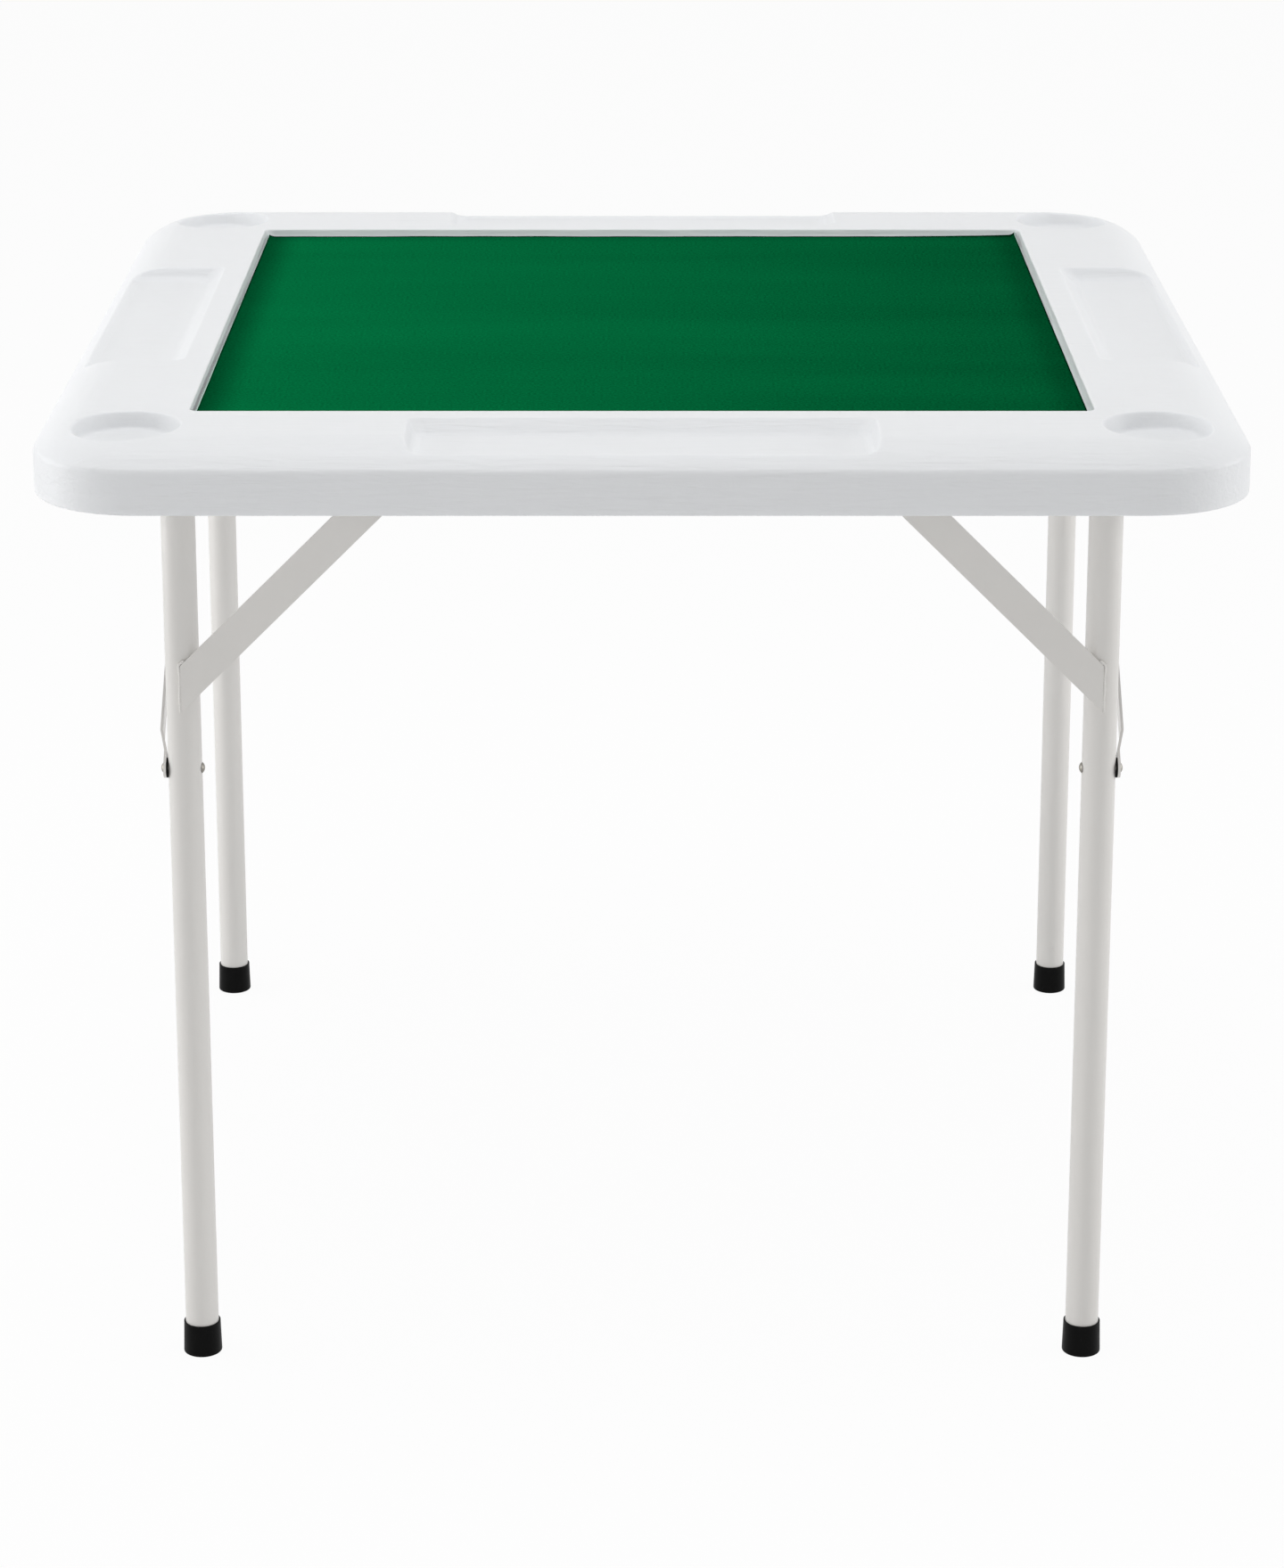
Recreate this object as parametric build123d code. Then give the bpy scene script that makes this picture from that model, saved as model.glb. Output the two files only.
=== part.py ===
from build123d import *
from math import asin, atan2, cos, degrees, hypot, sin, sqrt
import os

os.makedirs("parts", exist_ok=True)

# Folding card table, open, in millimetres.
# The origin is on the floor under the middle of the top, +Z is up and -Y is the front side.

# Overall size
table_height = 730.0
top_width = 880.0

# Moulded top: one blown plastic piece with two skins
corner_radius = 80.0
skirt_depth = 50.0
skirt_edge_radius = 2.0
edge_run = 40.0
edge_drop = 19.5
edge_radius = 5.0
skin = 3.0
rim_width = 20.0
rim_flare = 2.0
pan_depth = 24.0
pan_corner_radius = 56.0

# Playing recess and the felt mat that lies in it
recess_margin = 109.5
recess_depth = 8.5
recess_flare = 1.2
recess_corner_radius = 8.0
recess_lip_radius = 1.5
recess_floor_radius = 3.0
felt_thickness = 2.0
felt_gap = 0.2
felt_corner_radius = 6.5

# Chip trays, one beside each edge of the recess
tray_margin = 20.0
tray_length = 340.0
tray_depth = 10.5
tray_corner_radius = 9.0
tray_inner_slope = 12.0
tray_end_slope = 6.5
tray_outer_slope = 4.0
tray_outer_wall = 1.4
tray_floor_radius = 8.0
tray_lip_radius = 2.5

# Cup holders, one in each corner, set along the diagonal from the recess to the rounded corner
cup_place_share = 0.482
cup_radius = 40.0
cup_depth = 12.0
cup_flare = 6.0
cup_floor_radius = 4.0
cup_lip_radius = 2.0

# Dents in the underside, where the two skins are pressed together
dent_length = 70.0
dent_width = 16.0
dent_flare = 2.0
dent_pitch = 130.0
dent_count = 5

# Leg frames: round steel tube, the front one narrower so that it nests in the back one
tube_radius = 12.5
tube_wall = 1.2
frame_side_gap = 11.5
frame_nest_gap = 3.0
hinge_wall_gap = 45.0
hinge_gap = 3.5

# Foot caps
cap_height = 25.0
cap_top_radius = 13.9
cap_foot_radius = 14.6
cap_floor = 3.5
cap_edge_radius = 1.2
cap_clearance = 0.05

# Diagonal braces: flat bar welded across the corner of each frame
brace_reach = 155.0
brace_width = 25.0
brace_thickness = 2.0
brace_gap = 0.3

# Saddles that hold the crossbars to the top
saddle_length = 30.0
saddle_brace_gap = 56.0
saddle_thickness = 2.0
saddle_flange = 17.0
saddle_bend_radius = 1.5
saddle_seat = 4.0
seat_margin = 2.0
hinge_clearance = 0.05

# Knee links: two flat bars for each leg, riveted to the leg, to each other and to a bracket
knee_drop = 220.0
knee_inboard = 250.0
link_width = 15.0
link_thickness = 2.0
link_jog = 3.9
link_jog_start = 11.0
link_jog_end = 28.0
link_gap = 0.5
link_side_gap = 0.1

# Washer between the leg and its link
washer_radius = 7.5
washer_thickness = 0.9

# Rivets of the knee links
rivet_radius = 2.5
rivet_head_radius = 4.2
rivet_head_height = 2.0
pin_clearance = 0.05

# Brackets under the top that carry the upper links
bracket_thickness = 2.0
bracket_length = 50.0
bracket_flange = 11.0
bracket_ear_radius = 9.0
bracket_neck = 15.0

# Screws into the plastic
screw_radius = 2.0
screw_bite = 6.0
screw_head_radius = 3.8
screw_head_height = 2.3
screw_boss_radius = 6.0
screw_clearance = 0.05

# How far a cutting tool runs past the face that it cuts
overrun = 5.0

# Sizes that follow from the ones above
top_half = top_width / 2
corner_centre = top_half - corner_radius
skirt_bottom = table_height - skirt_depth
pan_level = table_height - pan_depth
pan_half = top_half - rim_width
seat_level = pan_level - saddle_seat
hinge_level = pan_level - hinge_gap - tube_radius
pan_wall = pan_half - rim_flare
recess_half = top_half - recess_margin
corner_reach = corner_centre + corner_radius * sqrt(1 / 2)
cup_place = recess_half + cup_place_share * (corner_reach - recess_half)
crown_start = top_half - edge_run
crown_offset = hypot(edge_run - edge_radius, edge_drop - edge_radius) ** 2 / (2 * (edge_drop - edge_radius))
crown_radius = crown_offset + edge_radius
crown_angle = degrees(asin((edge_run - edge_radius) / crown_offset))
tray_outer_drop = tray_depth - tray_outer_wall
tray_outer_edge = crown_start + sqrt(crown_radius ** 2 - (crown_radius - tray_outer_drop) ** 2)
tray_inner_edge = recess_half + tray_margin
tray_width = tray_outer_edge - tray_inner_edge
tray_middle = tray_inner_edge + tray_width / 2
link_slope = atan2(knee_drop, knee_inboard)
link_reach = hypot(knee_drop, knee_inboard)
lower_link_length = (link_reach + knee_drop - knee_inboard) / 2
upper_link_length = (link_reach - knee_drop + knee_inboard) / 2
link_half = link_width / 2
rivet_level = hinge_level - knee_drop
washer_face = tube_radius + link_side_gap
lower_link_face = washer_face + washer_thickness + link_side_gap
upper_link_face = lower_link_face + link_jog + link_thickness + link_gap
bracket_face = upper_link_face + link_thickness + link_gap
saddle_radius = tube_radius + hinge_clearance
saddle_screw_place = saddle_radius + saddle_thickness + saddle_flange / 2
bracket_screw_place = bracket_length / 2 - screw_head_radius - bracket_thickness
link_stack = bracket_face + bracket_thickness + rivet_head_height
hinge_place = pan_wall - hinge_wall_gap
back_leg_place = pan_wall - frame_side_gap - link_stack
front_leg_place = back_leg_place - tube_radius - rivet_head_height - frame_nest_gap - link_stack
bracket_y = knee_inboard - hinge_place
saddle_place = front_leg_place - brace_reach - saddle_brace_gap - saddle_length / 2

BASE = (Align.CENTER, Align.CENTER, Align.MIN)


def save(node, shape):
    """Name a sub-part and write its STEP file."""
    shape.label = node
    export_step(shape, "parts/" + node + ".step")


def fused(shapes):
    """Join overlapping or touching solids into one."""
    first, *rest = shapes
    return first.fuse(*rest).clean()


def rounded_block(half, radius, low, high, flare):
    """A square block with rounded corners that widens by flare from its top to its foot."""
    foot = RectangleRounded(2 * (half + flare), 2 * (half + flare), radius + flare)
    roof = RectangleRounded(2 * half, 2 * half, radius)
    return loft([Pos(0, 0, low) * foot.face(), Pos(0, 0, high) * roof.face()], ruled=True)


def edged_slab(shrink, low):
    """The outline of the top, drawn in by shrink: a slab with a crowned margin and a small edge radius."""
    reach = corner_radius - shrink
    high = table_height - shrink
    middle = corner_radius - edge_run
    shoulder = table_height - edge_drop
    crown_centre = (middle, table_height - crown_radius)
    crown = CenterArc(crown_centre, crown_radius - shrink, 90 - crown_angle, crown_angle)
    edge = CenterArc((corner_radius - edge_radius, shoulder), edge_radius - shrink, 0, 90 - crown_angle)
    rest = Polyline((middle, high), (0, high), (0, low), (reach, low), (reach, shoulder))
    section = Plane.XZ * make_face(crown + edge + rest)
    side = Pos(corner_centre, corner_centre, 0) * extrude(section, 2 * corner_centre)
    corner = Pos(corner_centre, corner_centre, 0) * revolve(section, Axis.Z, 90)
    core = Pos(0, 0, low) * Box(2 * corner_centre, 2 * corner_centre, high - low, align=BASE)
    return fused([core] + [Rot(0, 0, 90 * turn) * piece for turn in range(4) for piece in (side, corner)])


def tray_pocket(grow, turn):
    """A tray with sloping walls, cut from the top or, with grow, kept clear in the hollow."""
    top_length = tray_length + 2 * grow
    top_span = tray_width + 2 * grow
    radius = tray_corner_radius + grow
    floor_length = top_length - 2 * tray_end_slope
    floor_span = top_span - tray_inner_slope - tray_outer_slope
    floor_shift = (tray_inner_slope - tray_outer_slope) / 2
    mouth = Pos(tray_middle, 0, table_height) * RectangleRounded(top_span, top_length, radius)
    floor = Pos(tray_middle + floor_shift, 0, table_height - tray_depth - grow)
    floor = floor * RectangleRounded(floor_span, floor_length, radius)
    pocket = loft([mouth.face(), floor.face()], ruled=True)
    if grow == 0:
        pocket = fillet(pocket.edges().group_by(Axis.Z)[0], tray_floor_radius)
    collar = Pos(tray_middle, 0, table_height) * extrude(
        RectangleRounded(top_span, top_length, radius), overrun)
    return Rot(0, 0, 90 * turn) * fused([pocket, collar])


def cup_pocket(grow, turn):
    """A round cup holder, a shallow cone with a rounded floor."""
    depth = cup_depth + grow
    cone = Cone(cup_radius - cup_flare + grow, cup_radius + grow, depth, align=BASE)
    cone = Pos(cup_place, cup_place, table_height - depth) * cone
    cone = fillet(cone.edges().sort_by(Axis.Z)[0], cup_floor_radius)
    collar = Pos(cup_place, cup_place, table_height) * Cylinder(cup_radius + grow, overrun, align=BASE)
    return Rot(0, 0, 90 * turn) * fused([cone, collar])


def recess_pocket(grow):
    """The square playing recess, a little narrower at its floor."""
    floor = table_height - recess_depth - grow
    half = recess_half + grow
    foot = RectangleRounded(2 * (half - recess_flare), 2 * (half - recess_flare), recess_corner_radius)
    mouth = RectangleRounded(2 * half, 2 * half, recess_corner_radius)
    pocket = loft([Pos(0, 0, floor) * foot.face(), Pos(0, 0, table_height) * mouth.face()], ruled=True)
    pocket = fillet(pocket.edges().group_by(Axis.Z)[0], recess_floor_radius)
    return fused([pocket, Pos(0, 0, table_height) * extrude(mouth, overrun)])


def dent(grow):
    """One long dent, as deep as brings its skin against the skin of the recess."""
    depth = pan_depth - recess_depth - 2 * skin
    foot = SlotOverall(dent_length + 2 * grow, dent_width + 2 * grow)
    roof = SlotOverall(dent_length - 2 * dent_flare + 2 * grow, dent_width - 2 * dent_flare + 2 * grow)
    return loft([foot.face(), Pos(0, 0, depth + grow) * roof.face()], ruled=True)


def screw_places():
    """Where every screw enters the top: its place and the level of the bracket face under its head."""
    places = []
    for side_x in (-1, 1):
        for side_y in (-1, 1):
            for step in (-1, 1):
                y = hinge_place + step * saddle_screw_place
                places.append((side_x * saddle_place, side_y * y, seat_level - saddle_thickness))
        for leg_place, side_y in ((front_leg_place, 1), (back_leg_place, -1)):
            x = leg_place + bracket_face + bracket_thickness - bracket_flange / 2
            for step in (-1, 1):
                y = side_y * bracket_y + step * bracket_screw_place
                places.append((side_x * x, y, pan_level - bracket_thickness))
    return places


def on_cup_lip(edge):
    """Whether an edge is part of the upper rim of a cup holder."""
    box = edge.bounding_box()
    middle = edge.center(CenterOf.BOUNDING_BOX)
    across = hypot(abs(middle.X) - cup_place, abs(middle.Y) - cup_place)
    return across < cup_radius + cup_lip_radius and box.max.Z > table_height - cup_depth / 2


def on_tray_lip(edge):
    """Whether an edge is part of the upper rim of a tray."""
    box = edge.bounding_box()
    reach_x = max(abs(box.min.X), abs(box.max.X))
    reach_y = max(abs(box.min.Y), abs(box.max.Y))
    near, far = sorted((reach_x, reach_y))
    beside = tray_inner_edge - tray_margin / 2 < far < tray_inner_edge + tray_width
    return beside and near < tray_length / 2 + tray_margin / 2 and box.min.Z > table_height - tray_depth


def on_recess_lip(edge):
    """Whether an edge is part of the upper rim of the recess."""
    box = edge.bounding_box()
    far = max(abs(box.min.X), abs(box.max.X), abs(box.min.Y), abs(box.max.Y))
    return box.min.Z > table_height - recess_depth / 2 and far < recess_half + tray_margin / 2


def make_tabletop():
    """The blown top: a skin all round a hollow, with its recess, trays, cup holders and dents."""
    steps = [(step - (dent_count - 1) / 2) * dent_pitch for step in range(dent_count)]
    dent_places = [Pos(x, y, pan_level) for x in steps for y in steps]
    turns = range(4)

    body = edged_slab(0, skirt_bottom)
    body = fillet(body.edges().group_by(Axis.Z)[0], skirt_edge_radius)
    body -= rounded_block(pan_wall, pan_corner_radius, skirt_bottom, pan_level, rim_flare)
    body -= [cup_pocket(0, turn) for turn in turns]
    body -= [tray_pocket(0, turn) for turn in turns]
    body -= recess_pocket(0)
    for on_lip, radius in (
        (on_cup_lip, cup_lip_radius),
        (on_tray_lip, tray_lip_radius),
        (on_recess_lip, recess_lip_radius),
    ):
        body = fillet(body.edges().filter_by(on_lip), radius)
    body -= [place * dent(0) for place in dent_places]
    for side_x in (-1, 1):
        for side_y in (-1, 1):
            body += Pos(side_x * saddle_place, side_y * hinge_place, seat_level) * saddle_seat_pad()
    trough = Rot(0, 90, 0) * Cylinder(saddle_radius, 2 * (saddle_place + saddle_length))
    body -= [Pos(0, side_y * hinge_place, hinge_level) * trough for side_y in (-1, 1)]

    hollow = edged_slab(skin, skirt_bottom + skin)
    hollow -= rounded_block(
        pan_wall + skin, pan_corner_radius + skin, skirt_bottom, pan_level + skin, rim_flare)
    hollow -= [cup_pocket(skin, turn) for turn in turns]
    hollow -= [tray_pocket(skin, turn) for turn in turns]
    hollow -= recess_pocket(skin)
    hollow -= [place * dent(skin) for place in dent_places]
    boss = Cylinder(screw_boss_radius, pan_depth, align=BASE)
    hollow -= [Pos(x, y, pan_level) * boss for x, y, level in screw_places()]
    body -= hollow
    hole = Cylinder(screw_radius + screw_clearance, screw_bite + overrun, align=BASE)
    body -= [Pos(x, y, pan_level - overrun) * hole for x, y, level in screw_places()]
    return body


def saddle_seat_pad():
    """The raised pad under the top that a saddle is screwed to."""
    width = 2 * (saddle_radius + saddle_thickness + saddle_flange + seat_margin)
    return Box(saddle_length + 2 * seat_margin, width, saddle_seat, align=BASE)


def make_felt():
    """The felt mat, loose in the recess."""
    side = 2 * (recess_half - recess_flare - recess_floor_radius - felt_gap)
    mat = extrude(RectangleRounded(side, side, felt_corner_radius), felt_thickness)
    return Pos(0, 0, table_height - recess_depth) * mat


def make_saddle():
    """A strap bent round the crossbar, with a flange on each side."""
    radius = saddle_radius + saddle_thickness / 2
    bend = saddle_bend_radius + saddle_thickness / 2
    top = seat_level - hinge_level - saddle_thickness / 2
    rise = Line((radius, 0), (radius, top - bend))
    turn = JernArc(rise @ 1, (0, 1), bend, -90)
    flange = Line(turn @ 1, (radius + saddle_flange, top))
    half = rise + turn + flange
    cradle = CenterArc((0, 0), radius, 180, 180)
    strap = trace(half + mirror(half, about=Plane.YZ) + cradle, line_width=saddle_thickness)
    strap = extrude(Plane.YZ * strap, saddle_length / 2, both=True)
    saddle = Pos(saddle_place, -hinge_place, hinge_level) * strap
    hole = Cylinder(screw_radius + screw_clearance, 2 * saddle_thickness)
    for step in (-1, 1):
        y = step * saddle_screw_place - hinge_place
        saddle -= Pos(saddle_place, y, seat_level - saddle_thickness / 2) * hole
    return saddle


def make_screws():
    """The pan-head screws that hold the saddles and the link brackets."""
    head = Cylinder(screw_head_radius, screw_head_height, align=BASE)
    head = fillet(head.edges().group_by(Axis.Z)[0], screw_head_height / 2)
    screws = []
    for x, y, level in screw_places():
        shank = Cylinder(screw_radius, pan_level + screw_bite - level, align=BASE)
        screw = fused([Pos(0, 0, -screw_head_height) * head, shank])
        screws.append(Pos(x, y, level) * screw)
    return Compound(screws)


def mitre(leg_place, side):
    """The plane of the weld between a leg and the crossbar."""
    return Plane((side * leg_place, -hinge_place, hinge_level), z_dir=(side, 0, -1))


def make_leg(leg_place):
    """A leg tube, mitred at its top and drilled for the rivet of its link."""
    length = hinge_level + tube_radius - cap_floor
    tube = Cylinder(tube_radius, length, align=BASE) - Cylinder(tube_radius - tube_wall, length, align=BASE)
    tube = Pos(leg_place, -hinge_place, cap_floor) * tube
    tube = split(tube, mitre(leg_place, 1), keep=Keep.TOP)
    drill = Rot(0, 90, 0) * Cylinder(rivet_radius + pin_clearance, 4 * tube_radius)
    return tube - Pos(leg_place, -hinge_place, rivet_level) * drill


def make_crossbar(leg_place):
    """The tube across the top of a frame, mitred at both ends, which turns in the saddles."""
    length = 2 * (leg_place + tube_radius)
    tube = Cylinder(tube_radius, length) - Cylinder(tube_radius - tube_wall, length)
    tube = Pos(0, -hinge_place, hinge_level) * Rot(0, 90, 0) * tube
    tube = split(tube, mitre(leg_place, 1), keep=Keep.BOTTOM)
    return split(tube, mitre(leg_place, -1), keep=Keep.BOTTOM)


def make_cap(leg_place):
    """A plastic foot cap, slightly wider at the floor."""
    bore = tube_radius + cap_clearance
    outline = Polyline(
        (0, 0),
        (cap_foot_radius, 0),
        (cap_top_radius, cap_height),
        (bore, cap_height),
        (bore, cap_floor),
        (0, cap_floor),
        close=True,
    )
    cap = revolve(Plane.XZ * make_face(outline), Axis.Z)
    cap = fillet(cap.edges().group_by(Axis.Z)[0], cap_edge_radius)
    return Pos(leg_place, -hinge_place, 0) * cap


def make_brace(leg_place):
    """A flat bar at 45 degrees on the outer face of the frame."""
    cut = brace_width * sqrt(0.5)
    low = hinge_level - brace_reach
    inner = leg_place - brace_reach
    outline = Polyline(
        (leg_place, low - cut),
        (leg_place, low + cut),
        (inner + cut, hinge_level),
        (inner - cut, hinge_level),
        close=True,
    )
    bar = extrude(Plane.XZ * make_face(outline), brace_thickness)
    return Pos(0, -hinge_place - tube_radius - brace_gap, 0) * bar


def across(leg_place, y, level):
    """A place beside a leg, with its axis pointing outward along the rivets."""
    return Pos(leg_place, y, level) * Rot(0, 90, 0)


def link_plane(leg_place, y, level, direction):
    """The plane of a link: its X axis runs along the link and its Z axis points outward."""
    along = (0, direction * cos(link_slope), direction * sin(link_slope))
    return Plane((leg_place, y, level), x_dir=along, z_dir=(1, 0, 0))


def rivet_head():
    """A low domed head that stands on its own base."""
    radius = (rivet_head_radius ** 2 + rivet_head_height ** 2) / (2 * rivet_head_height)
    centre = rivet_head_height - radius
    half_angle = asin(rivet_head_radius / radius) / 2
    middle = (radius * sin(half_angle), centre + radius * cos(half_angle))
    dome = ThreePointArc((0, rivet_head_height), middle, (rivet_head_radius, 0))
    base = Polyline((rivet_head_radius, 0), (0, 0), (0, rivet_head_height))
    return revolve(Plane.XZ * make_face(dome + base), Axis.Z)


def rivet(low, high, heads):
    """A rivet between two distances from the leg's middle, with a head at the ends named in heads."""
    pieces = [Pos(0, 0, low) * Cylinder(rivet_radius, high - low, align=BASE)]
    if "inner" in heads:
        pieces.append(Pos(0, 0, low) * Rot(180, 0, 0) * rivet_head())
    if "outer" in heads:
        pieces.append(Pos(0, 0, high) * rivet_head())
    return fused(pieces)


def drilled_slot(length):
    """The outline of a link with a hole at each end."""
    slot = Pos(length / 2, 0) * SlotCenterToCenter(length, link_width)
    return slot - [Pos(x, 0) * Circle(rivet_radius + pin_clearance) for x in (0, length)]


def make_leg_rivet(leg_place):
    """The rivet through the leg that carries the lower link."""
    high = lower_link_face + link_thickness + link_side_gap
    return across(leg_place, -hinge_place, rivet_level) * rivet(-tube_radius, high, ("inner", "outer"))


def make_washer(leg_place):
    """The plastic washer between the leg and the lower link."""
    ring = Circle(washer_radius) - Circle(rivet_radius + pin_clearance)
    washer = Pos(0, 0, washer_face) * extrude(ring, washer_thickness)
    return across(leg_place, -hinge_place, rivet_level) * washer


def make_lower_link(leg_place):
    """The link on the leg: it steps outward just above its rivet."""
    low = lower_link_face
    high = low + link_jog
    end = lower_link_length + link_half
    edge = [(-link_half, low), (link_jog_start, low), (link_jog_end, high), (end, high)]
    outline = Polyline(*edge, *[(x, z + link_thickness) for x, z in reversed(edge)], close=True)
    bar = extrude(Plane.XZ * make_face(outline), link_half, both=True)
    blank = Pos(0, 0, low) * extrude(drilled_slot(lower_link_length), link_jog + link_thickness)
    plane = link_plane(leg_place, -hinge_place, rivet_level, 1)
    return plane.location * (bar & blank)


def make_upper_link(leg_place):
    """The flat link that hangs from the bracket under the top."""
    bar = Pos(0, 0, upper_link_face) * extrude(drilled_slot(upper_link_length), link_thickness)
    return link_plane(leg_place, bracket_y, hinge_level, -1).location * bar


def knee_place(leg_place):
    """The place of the knee, where the two links meet."""
    y = lower_link_length * cos(link_slope) - hinge_place
    return across(leg_place, y, rivet_level + lower_link_length * sin(link_slope))


def make_knee_inner(leg_place):
    """The half of the knee rivet that the lower link carries."""
    face = lower_link_face + link_jog
    return knee_place(leg_place) * rivet(face, face + link_thickness, ("inner",))


def make_knee_outer(leg_place):
    """The half of the knee rivet that the upper link carries."""
    return knee_place(leg_place) * rivet(upper_link_face, upper_link_face + link_thickness, ("outer",))


def make_bracket_rivet(leg_place):
    """The rivet that the upper link hangs on."""
    shank = rivet(upper_link_face - link_side_gap, bracket_face + bracket_thickness, ("inner", "outer"))
    return across(leg_place, bracket_y, hinge_level) * shank


def make_bracket(leg_place):
    """An angle of sheet steel: a flange under the top and an ear that hangs beside the link."""
    rise = pan_level - hinge_level
    outline = make_hull([
        CenterArc((0, 0), bracket_ear_radius, 0, 360),
        Line((-bracket_neck, rise), (bracket_neck, rise)),
    ])
    ear = extrude(Plane.YZ * (outline - Circle(rivet_radius + pin_clearance)), bracket_thickness)
    ear = Pos(leg_place + bracket_face, bracket_y, hinge_level) * ear
    flange = Box(
        bracket_flange, bracket_length, bracket_thickness, align=(Align.MAX, Align.CENTER, Align.MAX))
    flange = Pos(leg_place + bracket_face + bracket_thickness, bracket_y, pan_level) * flange
    bracket = fused([ear, flange])
    hole = Cylinder(screw_radius + screw_clearance, 4 * bracket_thickness)
    x = leg_place + bracket_face + bracket_thickness - bracket_flange / 2
    for step in (-1, 1):
        bracket -= Pos(x, bracket_y + step * bracket_screw_place, pan_level) * hole
    return bracket


def placed(shape, end, side):
    """A right-hand piece of the front frame, turned over to its own corner of the table."""
    if side == "left":
        shape = mirror(shape, about=Plane.YZ)
    if end == "back":
        shape = mirror(shape, about=Plane.XZ)
    return shape


def build():
    """Make every sub-part and write it."""
    save("tabletop", make_tabletop())
    save("felt_mat", make_felt())
    save("bracket_screws", make_screws())
    saddle = make_saddle()
    bracket_rivets = []
    for end, leg_place in (("front", front_leg_place), ("back", back_leg_place)):
        pieces = {
            "leg": make_leg(leg_place),
            "foot_cap": make_cap(leg_place),
            "brace": make_brace(leg_place),
            "saddle": saddle,
            "link_bracket": make_bracket(leg_place),
            "lower_link": make_lower_link(leg_place),
            "upper_link": make_upper_link(leg_place),
            "knee_rivet_inner": make_knee_inner(leg_place),
            "knee_rivet_outer": make_knee_outer(leg_place),
        }
        leg_rivet = make_leg_rivet(leg_place)
        washer = make_washer(leg_place)
        bracket_rivet = make_bracket_rivet(leg_place)
        for side in ("left", "right"):
            for piece, shape in pieces.items():
                save(end + "_" + side + "_" + piece, placed(shape, end, side))
            bracket_rivets.append(placed(bracket_rivet, end, side))
        sides = ("left", "right")
        save(end + "_leg_rivets", Compound([placed(leg_rivet, end, side) for side in sides]))
        save(end + "_leg_washers", Compound([placed(washer, end, side) for side in sides]))
        save(end + "_crossbar", placed(make_crossbar(leg_place), end, "right"))
    save("link_bracket_rivets", Compound(bracket_rivets))


build()
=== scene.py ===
import math

import bmesh
import bpy
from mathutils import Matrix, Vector, noise


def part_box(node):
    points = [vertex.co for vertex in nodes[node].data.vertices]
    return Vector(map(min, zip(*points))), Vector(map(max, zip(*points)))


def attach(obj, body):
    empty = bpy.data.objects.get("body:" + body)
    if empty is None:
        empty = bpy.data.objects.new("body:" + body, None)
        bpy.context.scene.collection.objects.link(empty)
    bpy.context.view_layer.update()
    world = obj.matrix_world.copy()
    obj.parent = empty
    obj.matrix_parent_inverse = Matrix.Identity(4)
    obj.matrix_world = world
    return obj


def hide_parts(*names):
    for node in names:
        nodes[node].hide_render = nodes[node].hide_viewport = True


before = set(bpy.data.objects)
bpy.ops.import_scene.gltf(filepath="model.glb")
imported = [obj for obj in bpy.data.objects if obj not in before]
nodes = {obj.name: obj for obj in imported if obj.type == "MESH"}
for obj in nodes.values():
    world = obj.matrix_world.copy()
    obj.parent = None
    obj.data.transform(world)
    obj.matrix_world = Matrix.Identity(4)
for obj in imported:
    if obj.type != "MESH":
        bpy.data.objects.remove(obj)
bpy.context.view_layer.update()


# The camera stands in front of the table, a little above it, with a long lens.
# Its place, tilt and focal length come from the outline of the top, the legs and the feet.
photo_height = 1759
focal_pixels = 4795.2
axis_row = 620.0
film_size = 36.0
camera_place = (0.0, -3.3567, 1.4818)
camera_tilt = 74.145
camera_data = bpy.data.cameras.new("camera")
camera_data.sensor_width = film_size
camera_data.lens = focal_pixels * film_size / photo_height
camera_data.shift_y = (axis_row - photo_height / 2) / photo_height
camera = bpy.data.objects.new("camera", camera_data)
camera.location = camera_place
camera.rotation_euler = (math.radians(camera_tilt), 0.0, 0.0)
bpy.context.scene.collection.objects.link(camera)
bpy.context.scene.camera = camera


# The top is one blow-moulded piece of off-white polyethylene, satin, with a fine grain of long
# wavy streaks that its mould leaves in the skin. It keeps its solid from the frame.
plastic_color = (0.855, 0.868, 0.885)
streak_scale = 190.0
streak_stretch = 0.10
streak_depth = 0.0008
pebble_scale = 700.0
pebble_depth = 0.00006
glow_depth = 0.004


def open_group(name, inputs, outputs):
    """A new shader node group: its tree, its input node and its output node."""
    group = bpy.data.node_groups.new(name, "ShaderNodeTree")
    for socket, kind, value in inputs:
        made = group.interface.new_socket(socket, in_out="INPUT", socket_type=kind)
        made.default_value = value
    for socket, kind in outputs:
        group.interface.new_socket(socket, in_out="OUTPUT", socket_type=kind)
    return group, group.nodes.new("NodeGroupInput"), group.nodes.new("NodeGroupOutput")


def math_node(tree, operation, first, second):
    """A math node; each input is a number or a socket."""
    node = tree.nodes.new("ShaderNodeMath")
    node.operation = operation
    for place, value in enumerate((first, second)):
        if isinstance(value, (int, float)):
            node.inputs[place].default_value = value
        else:
            tree.links.new(value, node.inputs[place])
    return node.outputs["Value"]


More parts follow.
